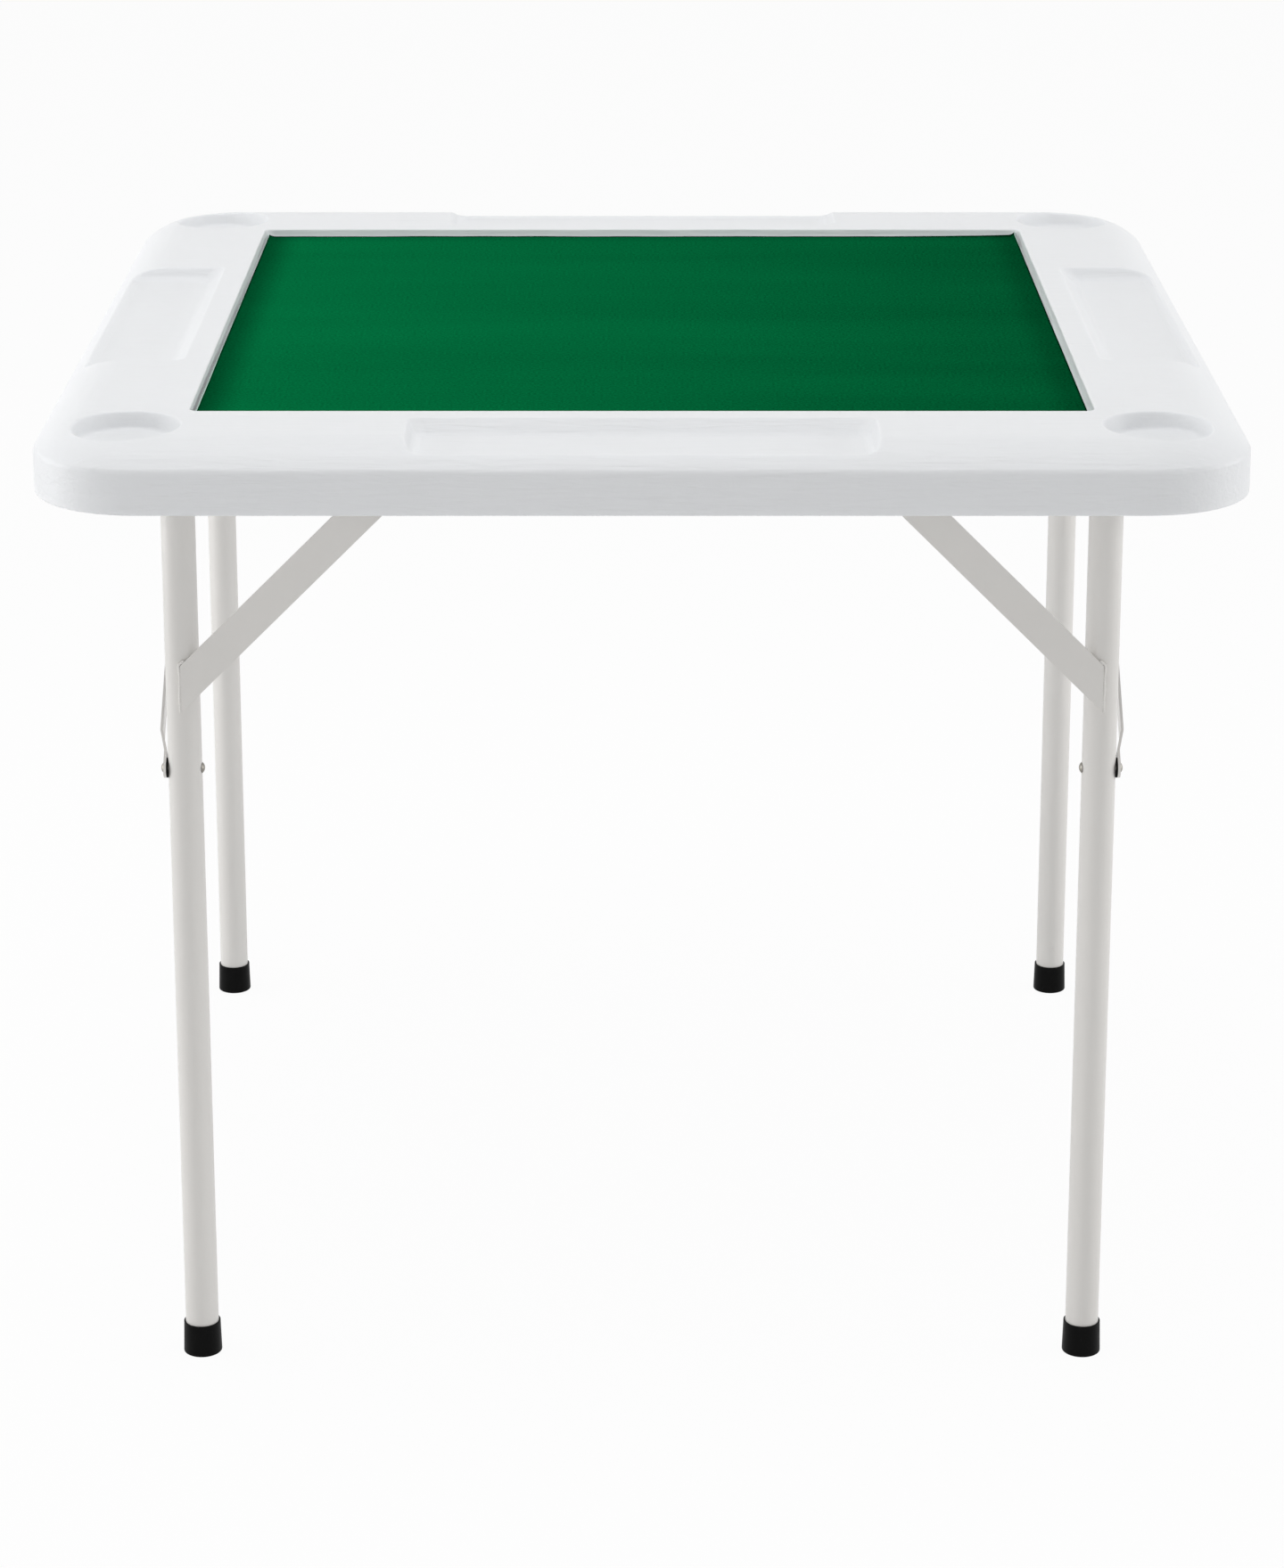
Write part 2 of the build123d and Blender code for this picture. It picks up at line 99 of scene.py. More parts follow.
def build_clouding():
    """Clouding: a colour and a roughness that drift over the piece, and a height for a bump."""
    group, given, made = open_group(
        "clouding",
        [
            ("Color", "NodeSocketColor", (0.8, 0.8, 0.8, 1.0)),
            ("Stretch", "NodeSocketVector", (1.0, 1.0, 1.0)),
            ("Scale", "NodeSocketFloat", 40.0),
            ("Detail", "NodeSocketFloat", 3.0),
            ("Waviness", "NodeSocketFloat", 0.0),
            ("Color Drift", "NodeSocketFloat", 0.0),
            ("Roughness", "NodeSocketFloat", 0.5),
            ("Roughness Drift", "NodeSocketFloat", 0.0),
        ],
        [
            ("Color", "NodeSocketColor"),
            ("Roughness", "NodeSocketFloat"),
            ("Height", "NodeSocketFloat"),
        ],
    )
    place = group.nodes.new("ShaderNodeTexCoord")
    stretch = group.nodes.new("ShaderNodeVectorMath")
    stretch.operation = "MULTIPLY"
    cloud = group.nodes.new("ShaderNodeTexNoise")
    tint = group.nodes.new("ShaderNodeVectorMath")
    tint.operation = "SCALE"
    group.links.new(place.outputs["Object"], stretch.inputs[0])
    group.links.new(given.outputs["Stretch"], stretch.inputs[1])
    group.links.new(stretch.outputs[0], cloud.inputs["Vector"])
    group.links.new(given.outputs["Scale"], cloud.inputs["Scale"])
    group.links.new(given.outputs["Detail"], cloud.inputs["Detail"])
    group.links.new(given.outputs["Waviness"], cloud.inputs["Distortion"])
    swing = math_node(group, "SUBTRACT", cloud.outputs["Fac"], 0.5)
    color_swing = math_node(group, "MULTIPLY", swing, given.outputs["Color Drift"])
    roughness_swing = math_node(group, "MULTIPLY", swing, given.outputs["Roughness Drift"])
    roughness = math_node(group, "ADD", roughness_swing, given.outputs["Roughness"])
    group.links.new(given.outputs["Color"], tint.inputs[0])
    group.links.new(math_node(group, "ADD", color_swing, 1.0), tint.inputs["Scale"])
    group.links.new(tint.outputs[0], made.inputs["Color"])
    group.links.new(roughness, made.inputs["Roughness"])
    group.links.new(cloud.outputs["Fac"], made.inputs["Height"])
    return group


clouding = build_clouding()


def finish_named(name, metallic=0.0):
    """A new material: itself, its node tree and its shader."""
    material = bpy.data.materials.new(name)
    material.use_nodes = True
    shader = material.node_tree.nodes["Principled BSDF"]
    shader.inputs["Metallic"].default_value = metallic
    return material, material.node_tree, shader


def place_clouding(tree, color, **settings):
    """Puts the clouding group in a material, with its own colour and values."""
    node = tree.nodes.new("ShaderNodeGroup")
    node.node_tree = clouding
    node.inputs["Color"].default_value = (*color, 1.0)
    for name, value in settings.items():
        node.inputs[name.replace("_", " ").title()].default_value = value
    return node.outputs


def take_tone(tree, shader, tone):
    """Lets a clouding give the shader its colour and its roughness."""
    tree.links.new(tone["Color"], shader.inputs["Base Color"])
    tree.links.new(tone["Roughness"], shader.inputs["Roughness"])


def raise_bump(tree, shader, height, depth):
    """A bump of a real depth in metres, on top of any that the shader already has."""
    bump = tree.nodes.new("ShaderNodeBump")
    bump.inputs["Strength"].default_value = 1.0
    bump.inputs["Distance"].default_value = depth
    tree.links.new(height, bump.inputs["Height"])
    for link in shader.inputs["Normal"].links:
        tree.links.new(link.from_socket, bump.inputs["Normal"])
    tree.links.new(bump.outputs["Normal"], shader.inputs["Normal"])


def dress(names, material):
    """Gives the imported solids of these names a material."""
    for name in names:
        nodes[name].data.materials.clear()
        nodes[name].data.materials.append(material)


plastic, plastic_tree, plastic_shader = finish_named("moulded_plastic")
plastic_tone = place_clouding(plastic_tree, plastic_color, scale=9.0, color_drift=0.03,
                              roughness=0.40, roughness_drift=0.12)
plastic_pebble = place_clouding(plastic_tree, plastic_color, scale=pebble_scale, detail=2.0)
take_tone(plastic_tree, plastic_shader, plastic_tone)
raise_bump(plastic_tree, plastic_shader, plastic_pebble["Height"], pebble_depth)
plastic_place = plastic_tree.nodes.new("ShaderNodeTexCoord")
plastic_facing = plastic_tree.nodes.new("ShaderNodeSeparateXYZ")
plastic_tree.links.new(plastic_place.outputs["Normal"], plastic_facing.inputs[0])
side_share = math_node(plastic_tree, "ABSOLUTE", plastic_facing.outputs["X"], 0.0)
front_share = math_node(plastic_tree, "SUBTRACT", 1.0, side_share)
# The streaks run from side to side, but from front to back where the skin faces sideways.
streak_runs = ((front_share, (streak_stretch, 1.0, 1.0)), (side_share, (1.0, streak_stretch, 1.0)))
streaks = []
for share, stretch in streak_runs:
    run = place_clouding(plastic_tree, plastic_color, stretch=stretch, scale=streak_scale,
                         detail=4.0, waviness=0.6)
    streaks.append(math_node(plastic_tree, "MULTIPLY", run["Height"], share))
streak_height = math_node(plastic_tree, "ADD", *streaks)
raise_bump(plastic_tree, plastic_shader, streak_height, streak_depth)
plastic_shader.inputs["Specular IOR Level"].default_value = 0.3
plastic_shader.inputs["Subsurface Weight"].default_value = 0.35
plastic_shader.inputs["Subsurface Radius"].default_value = (1.0, 1.0, 1.0)
plastic_shader.inputs["Subsurface Scale"].default_value = glow_depth
dress(["tabletop"], plastic)


# The playing surface is a sheet of green felt, cut a little smaller than the recess and laid in it.
# Its left edge and its far right corner curl up a little and show the pale cut; the nap is brushed.
# Its colour also holds painted light and shade: lighter to the left, with painted shade near the
# edges and a painted shadow along the rim.
felt_low, felt_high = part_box("felt_mat")
foot_climb = 0.001
felt_size = felt_high.x - felt_low.x + 2 * foot_climb
felt_half = felt_size / 2
felt_thickness = 0.0017
felt_clearance = 0.0003
felt_wave = 0.00025
curl_width = 0.008
least_curl = 0.17
fine_width = 1.4 * curl_width
inner_pitch = 0.007
edge_pitch = 0.0008
felt_color = (0.0009, 0.131, 0.040)
cut_color = (0.50, 0.68, 0.60)


def felt_line():
    """Places across the sheet: close together near its edges, where it curls."""
    edge_steps = round(fine_width / edge_pitch)
    edge_places = [-felt_half + step * edge_pitch for step in range(edge_steps)]
    span = -2 * edge_places[-1] - 2 * edge_pitch
    inner_steps = round(span / inner_pitch)
    start = edge_places[-1] + edge_pitch
    inner_places = [start + span * step / inner_steps for step in range(inner_steps + 1)]
    return edge_places + inner_places + [-place for place in reversed(edge_places)]


def curl_angle(side, along):
    """How far a side turns up: the left one all along, the right and back ones where they meet.

    The sides are 0 left, 1 right, 2 front and 3 back; the angle is in radians.
    """
    wander = noise.noise(Vector((along * 7.0, side * 3.1, 0.4)))
    flutter = noise.noise(Vector((along * 28.0, side * 5.3, 1.9)))
    share = (along + felt_half) / felt_size
    lift = (0.95 - 0.35 * share, 0.25 + 0.6 * share ** 8, 0.15, 0.25 + 0.5 * share ** 12)[side]
    return max(least_curl, lift * (1.0 + 0.5 * wander) + 0.08 * flutter)


def laid(x, y):
    """Where a point of the flat sheet ends up."""
    place = Vector((x, y, 0.0))
    place.z += felt_wave * noise.noise(Vector((x * 6.0, y * 11.0, 5.0)))
    edges = (
        (x + felt_half, 0, y, Vector((1, 0, 0))),
        (felt_half - x, 1, y, Vector((-1, 0, 0))),
        (y + felt_half, 2, x, Vector((0, 1, 0))),
        (felt_half - y, 3, x, Vector((0, -1, 0))),
    )
    for inset, side, along, inward in edges:
        share = 1.0 - inset / curl_width
        if share > 0.0:
            angle = curl_angle(side, along)
            place.z += curl_width * angle / 3 * share ** 3 * (1.0 - 0.1 * angle ** 2 * share ** 4)
            place += inward * curl_width * angle ** 2 / 10 * share ** 5
    return place


def smooth_piece(name, shape):
    """A smooth piece of this name in the scene, made from a shape that is then let go."""
    mesh = bpy.data.meshes.new(name)
    shape.to_mesh(mesh)
    shape.free()
    mesh.shade_smooth()
    piece = bpy.data.objects.new(name, mesh)
    bpy.context.scene.collection.objects.link(piece)
    return piece


felt_places = felt_line()
felt_shape = bmesh.new()
felt_rows = [[felt_shape.verts.new(laid(x, y)) for x in felt_places] for y in felt_places]
for lower, upper in zip(felt_rows, felt_rows[1:]):
    for step in range(len(felt_places) - 1):
        felt_shape.faces.new((lower[step], lower[step + 1], upper[step + 1], upper[step]))
felt = smooth_piece("felt_sheet", felt_shape)
felt.location.z = felt_low.z + felt_thickness + felt_clearance
felt_body = felt.modifiers.new("thickness", "SOLIDIFY")
felt_body.thickness = felt_thickness
felt_body.offset = -1.0
felt_body.material_offset_rim = 1

nap_bands = (1.5, 9.0, 1.0)
fibre_scale = 480.0
fibre_depth = 0.0006
# How much more painted shade the left side gets than the right.
painted_side_shade_lean = -0.35
shade_width_side = 0.032
shade_width_end = 0.024
rim_width_side = 0.0022
rim_width_end = 0.004


def build_nap_and_painted_light():
    """Brushed nap, bands where the pile lies another way and lighter tips, with painted light and
    shade: lighter to the left, painted shade near the edges, a painted shadow along the rim.
    """
    group, given, made = open_group(
        "nap_and_painted_light",
        [
            ("Color", "NodeSocketColor", (0.1, 0.1, 0.1, 1.0)),
            ("Band Depth", "NodeSocketFloat", 0.1),
            ("Painted Light Sweep", "NodeSocketFloat", 0.3),
            ("Edge Half", "NodeSocketFloat", 0.3),
            ("Side Shade", "NodeSocketFloat", 0.3),
            ("End Shade", "NodeSocketFloat", 0.1),
            ("Rim Shade", "NodeSocketFloat", 0.5),
            ("Tip Light", "NodeSocketFloat", 0.3),
        ],
        [("Color", "NodeSocketColor"), ("Height", "NodeSocketFloat")],
    )
    place = group.nodes.new("ShaderNodeTexCoord")
    split = group.nodes.new("ShaderNodeSeparateXYZ")
    band_place = group.nodes.new("ShaderNodeVectorMath")
    band_place.operation = "MULTIPLY"
    band_place.inputs[1].default_value = nap_bands
    band = group.nodes.new("ShaderNodeTexNoise")
    band.inputs["Scale"].default_value = 1.0
    band.inputs["Detail"].default_value = 3.0
    tips = group.nodes.new("ShaderNodeTexNoise")
    tips.inputs["Scale"].default_value = fibre_scale
    tips.inputs["Detail"].default_value = 3.0
    tint = group.nodes.new("ShaderNodeVectorMath")
    tint.operation = "SCALE"
    group.links.new(place.outputs["Object"], split.inputs[0])
    group.links.new(place.outputs["Object"], band_place.inputs[0])
    group.links.new(place.outputs["Object"], tips.inputs["Vector"])
    group.links.new(band_place.outputs[0], band.inputs["Vector"])
    band_swing = math_node(group, "SUBTRACT", band.outputs["Fac"], 0.5)
    band_swing = math_node(group, "MULTIPLY", band_swing, given.outputs["Band Depth"])
    # Painted light: the sheet is lighter to the left and darker to the right, as it was lit.
    painted_light_sweep = math_node(group, "MULTIPLY", split.outputs["X"], given.outputs["Painted Light Sweep"])
    tip_swing = math_node(group, "SUBTRACT", tips.outputs["Fac"], 0.5)
    tip_swing = math_node(group, "MULTIPLY", tip_swing, given.outputs["Tip Light"])
    level = math_node(group, "ADD", math_node(group, "ADD", band_swing, tip_swing), 1.0)
    level = math_node(group, "SUBTRACT", level, painted_light_sweep)
    # Painted shade near the sides, darker along the left side than the right.
    lean = math_node(group, "MULTIPLY", split.outputs["X"], painted_side_shade_lean)
    side_shade = math_node(group, "ADD", given.outputs["Side Shade"], lean)
    end_shade = given.outputs["End Shade"]
    # Painted shadow: a thin dark line along each edge of the sheet, where the gap under the edge is
    # dark.
    rim_shade = given.outputs["Rim Shade"]
    edge_half = given.outputs["Edge Half"]
    # Painted shade in strips along the sides and ends, and a painted shadow line along the rim.
    shaded_strips = (
        ("X", shade_width_side, side_shade),
        ("Y", shade_width_end, end_shade),
        ("X", rim_width_side, rim_shade),
        ("Y", rim_width_end, rim_shade),
    )
    for across, width, shade in shaded_strips:
        near_edge = group.nodes.new("ShaderNodeMapRange")
        near_edge.interpolation_type = "SMOOTHSTEP"
        near_edge.inputs["To Min"].default_value = 0.0
        near_edge.inputs["To Max"].default_value = 1.0
        reach = math_node(group, "ABSOLUTE", split.outputs[across], 0.0)
        strip_start = math_node(group, "SUBTRACT", edge_half, width)
        group.links.new(reach, near_edge.inputs["Value"])
        group.links.new(strip_start, near_edge.inputs["From Min"])
        group.links.new(edge_half, near_edge.inputs["From Max"])
        taken = math_node(group, "MULTIPLY", near_edge.outputs["Result"], shade)
        kept = math_node(group, "SUBTRACT", 1.0, taken)
        level = math_node(group, "MULTIPLY", level, kept)
    group.links.new(given.outputs["Color"], tint.inputs[0])
    group.links.new(level, tint.inputs["Scale"])
    group.links.new(tint.outputs[0], made.inputs["Color"])
    group.links.new(tips.outputs["Fac"], made.inputs["Height"])
    return group


felt_finish, felt_tree, felt_shader = finish_named("green_felt")
felt_nap_and_painted_light = felt_tree.nodes.new("ShaderNodeGroup")
felt_nap_and_painted_light.node_tree = build_nap_and_painted_light()
felt_nap_and_painted_light.inputs["Color"].default_value = (*felt_color, 1.0)
felt_nap_and_painted_light.inputs["Band Depth"].default_value = 0.45
# Painted light: the sweep makes the felt lighter to the left.
felt_nap_and_painted_light.inputs["Painted Light Sweep"].default_value = 0.75
felt_nap_and_painted_light.inputs["Edge Half"].default_value = felt_half
# Painted shade near the sides and ends, and a painted shadow along the rim.
felt_nap_and_painted_light.inputs["Side Shade"].default_value = 0.42
felt_nap_and_painted_light.inputs["End Shade"].default_value = 0.2
felt_nap_and_painted_light.inputs["Rim Shade"].default_value = 0.9
felt_nap_and_painted_light.inputs["Tip Light"].default_value = 1.3
felt_tree.links.new(felt_nap_and_painted_light.outputs["Color"], felt_shader.inputs["Base Color"])
felt_shader.inputs["Roughness"].default_value = 1.0
felt_shader.inputs["Specular IOR Level"].default_value = 0.0
raise_bump(felt_tree, felt_shader, felt_nap_and_painted_light.outputs["Height"], fibre_depth)
cut_finish, cut_tree, cut_shader = finish_named("felt_cut_edge")
cut_fibres = place_clouding(cut_tree, cut_color, scale=900.0, color_drift=0.8, roughness=0.9)
take_tone(cut_tree, cut_shader, cut_fibres)
raise_bump(cut_tree, cut_shader, cut_fibres["Height"], 0.0004)
felt.data.materials.append(felt_finish)
felt.data.materials.append(cut_finish)
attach(felt, "top")
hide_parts("felt_mat")


# The two leg frames are round steel tube with flat steel braces and links, powder coated in a warm
# off-white. The solids come from the frame; the coat has a faint orange peel.
coat_color = (0.765, 0.747, 0.720)
peel_scale = 330.0
peel_depth = 0.00009
coat, coat_tree, coat_shader = finish_named("powder_coat")
coat_tone = place_clouding(coat_tree, coat_color, stretch=(1.0, 1.0, 0.3), scale=22.0,
                           color_drift=0.05, roughness=0.36, roughness_drift=0.10)
coat_peel = place_clouding(coat_tree, coat_color, scale=peel_scale, detail=2.0)
take_tone(coat_tree, coat_shader, coat_tone)
raise_bump(coat_tree, coat_shader, coat_peel["Height"], peel_depth)
ends = ("front", "back")
corners = [end + "_" + side for end in ends for side in ("left", "right")]
flat_and_round = ("leg", "brace", "lower_link", "upper_link")
dress([end + "_crossbar" for end in ends], coat)
dress([corner + "_" + piece for corner in corners for piece in flat_and_round], coat)


# Weld beads join each brace to its leg and its crossbar, and run round each corner of a frame.
# They are rippled ridges of steel under the same coat, laid on before it.
tube_radius = 0.0125
brace_width = 0.025
brace_cut = brace_width * math.sqrt(2.0)
bead_radius = 0.0011
corner_bead_radius = 0.0008
bead_pitch = 0.0022
bead_facets = 8
steps_per_ripple = 8
past_leg_middle = 0.0009
past_brace_top = 0.0006
past_brace_foot = 0.0004
tuck_inward = 0.0042
tuck_upward = 0.0034
corner_steps = 160
off_every_bead = Vector((0.3, 1.0, 0.2))


def skin_rings(shape, rings):
    """Closes the skin between each ring of points and the next."""
    for lower, upper in zip(rings, rings[1:]):
        for step in range(len(lower)):
            after = (step + 1) % len(lower)
            shape.faces.new((lower[step], lower[after], upper[after], upper[step]))


def bead_along(shape, route, radius):
    """A rippled ridge along a route of points, thinner at its two ends."""
    rings = []
    for step, point in enumerate(route):
        ahead = route[min(step + 1, len(route) - 1)] - route[max(step - 1, 0)]
        across = ahead.cross(off_every_bead).normalized()
        upward = across.cross(ahead).normalized()
        wave = math.sin(2 * math.pi * step / steps_per_ripple)
        ripple = 1.0 + 0.07 * wave + 0.22 * noise.noise(point * 210.0)
        taper = min(1.0, 0.35 + 0.2 * min(step, len(route) - 1 - step))
        ring = []
        for turn in range(bead_facets):
            angle = 2 * math.pi * turn / bead_facets
            offset = across * math.cos(angle) + upward * math.sin(angle)
            ring.append(shape.verts.new(point + offset * radius * ripple * taper))
        rings.append(ring)
    skin_rings(shape, rings)
    shape.faces.new(list(reversed(rings[0])))
    shape.faces.new(rings[-1])


def straight(start, end):
    """Points from start to end, an eighth of a ripple apart, with a hand's wander."""
    steps = max(2, round((end - start).length / (bead_pitch / steps_per_ripple)))
    points = [start.lerp(end, step / steps) for step in range(steps + 1)]
    return [point + Vector((0.0007 * noise.noise(point * 70.0), 0,
                            0.0004 * noise.noise(point * 90.0)))
            for point in points]


for end in ends:
    hinge_low, hinge_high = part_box(end + "_crossbar")
    hinge = (hinge_low + hinge_high) / 2
    welds = bmesh.new()
    for side, hand in (("left", -1), ("right", 1)):
        leg_low, leg_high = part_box(end + "_" + side + "_leg")
        leg_x = (leg_low.x + leg_high.x) / 2
        brace_low, brace_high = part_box(end + "_" + side + "_brace")
        face_y = (brace_low.y + brace_high.y) / 2
        brace_end = leg_x + hand * past_leg_middle
        leg_top = Vector((brace_end, face_y, brace_low.z + brace_cut + past_brace_top))
        leg_foot = Vector((brace_end, face_y, brace_low.z - past_brace_foot))
        tuck = Vector((-hand * tuck_inward, 0, tuck_upward))
        leg_route = straight(leg_top + tuck, leg_top) + straight(leg_top, leg_foot)[1:]
        bead_along(welds, leg_route, bead_radius)
        inner_x = brace_low.x if hand > 0 else brace_high.x
        bar_z = hinge.z + past_brace_foot
        bar_inner = Vector((inner_x, face_y, bar_z))
        bar_outer = Vector((inner_x + hand * brace_cut, face_y, bar_z))
        bead_along(welds, straight(bar_inner, bar_outer), bead_radius)
        corner_route = []
        for step in range(corner_steps + 1):
            angle = 2 * math.pi * step / corner_steps
            out = tube_radius * math.cos(angle)
            corner_route.append(Vector((leg_x + hand * out,
                                        hinge.y + tube_radius * math.sin(angle),
                                        hinge.z + out)))
        bead_along(welds, corner_route, corner_bead_radius)
    weld_piece = smooth_piece(end + "_welds", welds)
    weld_piece.data.materials.append(coat)
    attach(weld_piece, end + "_frame")


# Each foot has a black moulded cap pushed over the tube, and a black washer parts each leg from its
# link. Both are soft black plastic with a dull, slightly uneven gloss.
cap_color = (0.003, 0.003, 0.003)
cap, cap_tree, cap_shader = finish_named("black_plastic")
cap_tone = place_clouding(cap_tree, cap_color, scale=160.0, color_drift=0.9,
                          roughness=0.44, roughness_drift=0.25)
cap_grain = place_clouding(cap_tree, cap_color, scale=1200.0, detail=2.0)
take_tone(cap_tree, cap_shader, cap_tone)
raise_bump(cap_tree, cap_shader, cap_grain["Height"], 0.00005)
cap_shader.inputs["Specular IOR Level"].default_value = 0.06
dress([corner + "_foot_cap" for corner in corners], cap)
dress([end + "_leg_washers" for end in ends], cap)


# The rivets of the links are plain steel with domed heads, peened and a little dulled.
# They keep their solids from the frame.
rivet_color = (0.30, 0.285, 0.255)
rivet_finish, rivet_tree, rivet_shader = finish_named("rivet_steel", metallic=1.0)
rivet_tone = place_clouding(rivet_tree, rivet_color, scale=420.0, detail=4.0, color_drift=0.9,
                            roughness=0.42, roughness_drift=0.25)
take_tone(rivet_tree, rivet_shader, rivet_tone)
raise_bump(rivet_tree, rivet_shader, rivet_tone["Height"], 0.00012)
rivet_halves = ("inner", "outer")
dress([end + "_leg_rivets" for end in ends] + ["link_bracket_rivets"], rivet_finish)
dress([corner + "_knee_rivet_" + half for corner in corners for half in rivet_halves], rivet_finish)


# The saddles that the crossbars turn in and the brackets of the links are bent zinc-plated sheet.
# They are screwed up under the top and keep their solids from the frame.
zinc_color = (0.60, 0.61, 0.62)
zinc, zinc_tree, zinc_shader = finish_named("zinc_plate", metallic=1.0)
zinc_tone = place_clouding(zinc_tree, zinc_color, scale=75.0, detail=5.0, waviness=0.8,
                           color_drift=0.35, roughness=0.38, roughness_drift=0.18)
take_tone(zinc_tree, zinc_shader, zinc_tone)
raise_bump(zinc_tree, zinc_shader, zinc_tone["Height"], 0.00005)
dress([corner + "_" + piece for corner in corners for piece in ("saddle", "link_bracket")], zinc)


# Sixteen pan-head screws with a cross recess hold the saddles and brackets to the top.
# They are plated steel, driven upward, so their heads show from below.
screw_color = (0.55, 0.55, 0.54)
head_radius = 0.0038
head_height = 0.0023
head_rings = 22
cross_reach = 0.0021
cross_half_width = 0.00048
cross_depth = 0.0012
cross_wall_slope = 0.00016
cross_tip_slope = 0.0006
shank_radius = 0.0020
point_length = 0.001
point_radius = 0.0008
screw_facets = 56
turn_between = 2.4


def find_screws(mesh):
    """The middle and the lowest and highest level of each separate screw in a mesh."""
    shape = bmesh.new()
    shape.from_mesh(mesh)
    waiting = set(shape.verts)
    found = []
    while waiting:
        reached = [waiting.pop()]
        screw = list(reached)
        while reached:
            for edge in reached.pop().link_edges:
                for vert in edge.verts:
                    if vert in waiting:
                        waiting.remove(vert)
                        reached.append(vert)
                        screw.append(vert)
        xs, ys, zs = zip(*[vert.co for vert in screw])
        found.append(((min(xs) + max(xs)) / 2, (min(ys) + max(ys)) / 2, min(zs), max(zs)))
    shape.free()
    return sorted(found)


def head_level(x, y):
    """How deep the face of a head lies below its crown: domed, with a cross recess."""
    radius = math.hypot(x, y)
    share = radius / head_radius
    dome = 0.35 * head_height * share ** 2 + 0.65 * head_height * share ** 12
    across = min(abs(x), abs(y))
    wall = min(1.0, max(0.0, (cross_half_width - across) / cross_wall_slope))
    tip = min(1.0, max(0.0, (cross_reach - radius) / cross_tip_slope))
    return dome + cross_depth * wall * tip


def add_screw(shape, x, y, low, high, turn):
    """One screw, head down, its recess turned as it was left."""
    crown = shape.verts.new((x, y, low + head_level(0.0, 0.0)))
    angles = [2 * math.pi * step / screw_facets for step in range(screw_facets)]
    outline = []
    for step in range(1, head_rings + 1):
        radius = head_radius * step / head_rings
        levels = [low + head_level(radius * math.cos(angle), radius * math.sin(angle))
                  for angle in angles]
        outline.append((radius, levels))
    outline.append((shank_radius, [low + head_height] * screw_facets))
    outline.append((shank_radius, [high - point_length] * screw_facets))
    outline.append((point_radius, [high] * screw_facets))
    rings = []
    for radius, levels in outline:
        rings.append([shape.verts.new((x + radius * math.cos(angle + turn),
                                       y + radius * math.sin(angle + turn), level))
                      for angle, level in zip(angles, levels)])
    for step in range(screw_facets):
        shape.faces.new((crown, rings[0][(step + 1) % screw_facets], rings[0][step]))
    skin_rings(shape, rings)
    shape.faces.new(rings[-1])


screw_shape = bmesh.new()
for number, (x, y, low, high) in enumerate(find_screws(nodes["bracket_screws"].data)):
    add_screw(screw_shape, x, y, low, high, number * turn_between)
screw_finish, screw_tree, screw_shader = finish_named("screw_plate", metallic=1.0)
screw_tone = place_clouding(screw_tree, screw_color, scale=260.0, detail=4.0, color_drift=0.5,
                            roughness=0.36, roughness_drift=0.15)
take_tone(screw_tree, screw_shader, screw_tone)
screws = smooth_piece("pan_head_screws", screw_shape)
screws.data.materials.append(screw_finish)
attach(screws, "top")
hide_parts("bracket_screws")


# The floor is one plain pale sheet that shows white and keeps a soft shadow round the feet.
# Metal and other glossy finishes see the same white.
floor_half = 14.0
floor_color = (0.85, 0.85, 0.85, 1.0)
floor_white_share = 0.95


def seen_share(tree):
    """1 where the camera, a gloss or glass looks at a surface, 0 where it is only lit."""
    path = tree.nodes.new("ShaderNodeLightPath")
    camera_ray, glossy_ray = path.outputs["Is Camera Ray"], path.outputs["Is Glossy Ray"]
    seen = math_node(tree, "MAXIMUM", camera_ray, glossy_ray)
    return math_node(tree, "MAXIMUM", seen, path.outputs["Is Transmission Ray"])


def blend_to_white(tree, share, lit, white, end):
    """Shows the lit side of a surface, or plain white by this share."""
    blend = tree.nodes.new("ShaderNodeMixShader")
    tree.links.new(share, blend.inputs["Fac"])
    tree.links.new(lit, blend.inputs[1])
    tree.links.new(white, blend.inputs[2])
    tree.links.new(blend.outputs["Shader"], tree.nodes[end].inputs["Surface"])


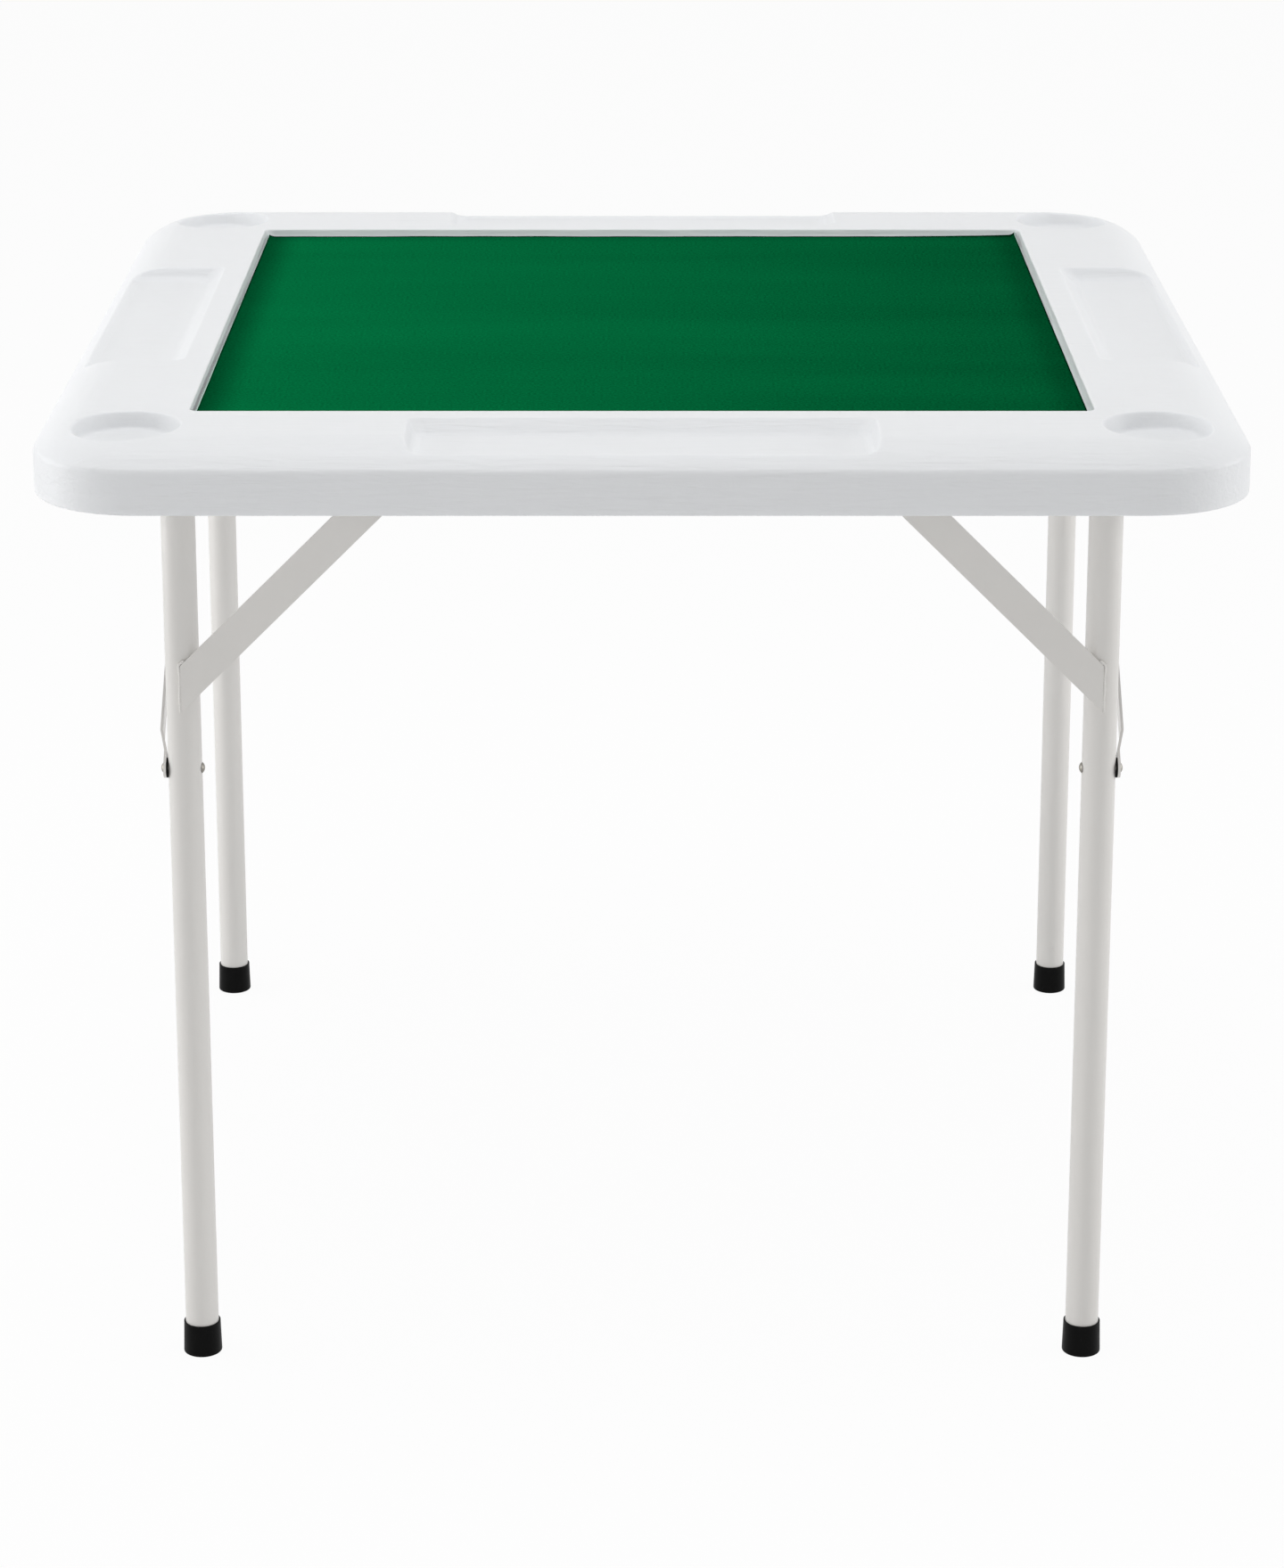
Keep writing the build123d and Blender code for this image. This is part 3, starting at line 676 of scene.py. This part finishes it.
floor_mesh = bpy.data.meshes.new("floor")
floor_corners = [(-floor_half, -floor_half, 0), (floor_half, -floor_half, 0),
                 (floor_half, floor_half, 0), (-floor_half, floor_half, 0)]
floor_mesh.from_pydata(floor_corners, [], [(0, 1, 2, 3)])
floor = bpy.data.objects.new("floor", floor_mesh)
bpy.context.scene.collection.objects.link(floor)
floor_finish, floor_tree, floor_shader = finish_named("floor")
floor_shader.inputs["Base Color"].default_value = floor_color
floor_shader.inputs["Roughness"].default_value = 0.9
floor_shader.inputs["Specular IOR Level"].default_value = 0.0
floor_white = floor_tree.nodes.new("ShaderNodeEmission")
floor_share = math_node(floor_tree, "MULTIPLY", seen_share(floor_tree), floor_white_share)
blend_to_white(floor_tree, floor_share, floor_shader.outputs["BSDF"],
               floor_white.outputs["Emission"], "Material Output")
floor_mesh.materials.append(floor_finish)


# The room is an even white that reads as a plain backdrop, with a weaker light of its own.
# Soft boxes hang above the top and stand low at both sides and in front.
room_strength = 0.44
top_middle = (0, 0, 0.7)
table_middle = (0, 0, 0.5)
room = bpy.data.worlds.new("room")
bpy.context.scene.world = room
room.use_nodes = True
room_tree = room.node_tree
room_light = room_tree.nodes["Background"]
room_light.inputs["Color"].default_value = (1.0, 1.0, 1.0, 1.0)
room_light.inputs["Strength"].default_value = room_strength
backdrop = room_tree.nodes.new("ShaderNodeBackground")
backdrop.inputs["Color"].default_value = (1.0, 1.0, 1.0, 1.0)
backdrop.inputs["Strength"].default_value = 1.0
blend_to_white(room_tree, seen_share(room_tree), room_light.outputs["Background"],
               backdrop.outputs["Background"], "World Output")


def soft_box(name, place, aim, size, power):
    """A rectangular lamp at a place, turned to a point."""
    lamp = bpy.data.lights.new(name, "AREA")
    lamp.shape = "RECTANGLE"
    lamp.size, lamp.size_y = size
    lamp.energy = power
    stand = bpy.data.objects.new(name, lamp)
    stand.location = place
    stand.rotation_euler = (Vector(aim) - Vector(place)).to_track_quat("-Z", "Y").to_euler()
    bpy.context.scene.collection.objects.link(stand)


soft_box("overhead_box", (-0.3, -0.1, 3.2), top_middle, (2.6, 2.2), 35.0)
soft_box("left_box", (-3.0, 0.0, 0.7), table_middle, (1.7, 1.5), 33.0)
soft_box("right_box", (3.0, 0.0, 0.95), table_middle, (1.7, 1.5), 28.0)
soft_box("front_box", (-0.4, -4.2, 0.6), table_middle, (2.4, 1.0), 17.0)
bpy.context.scene.view_settings.view_transform = "Standard"
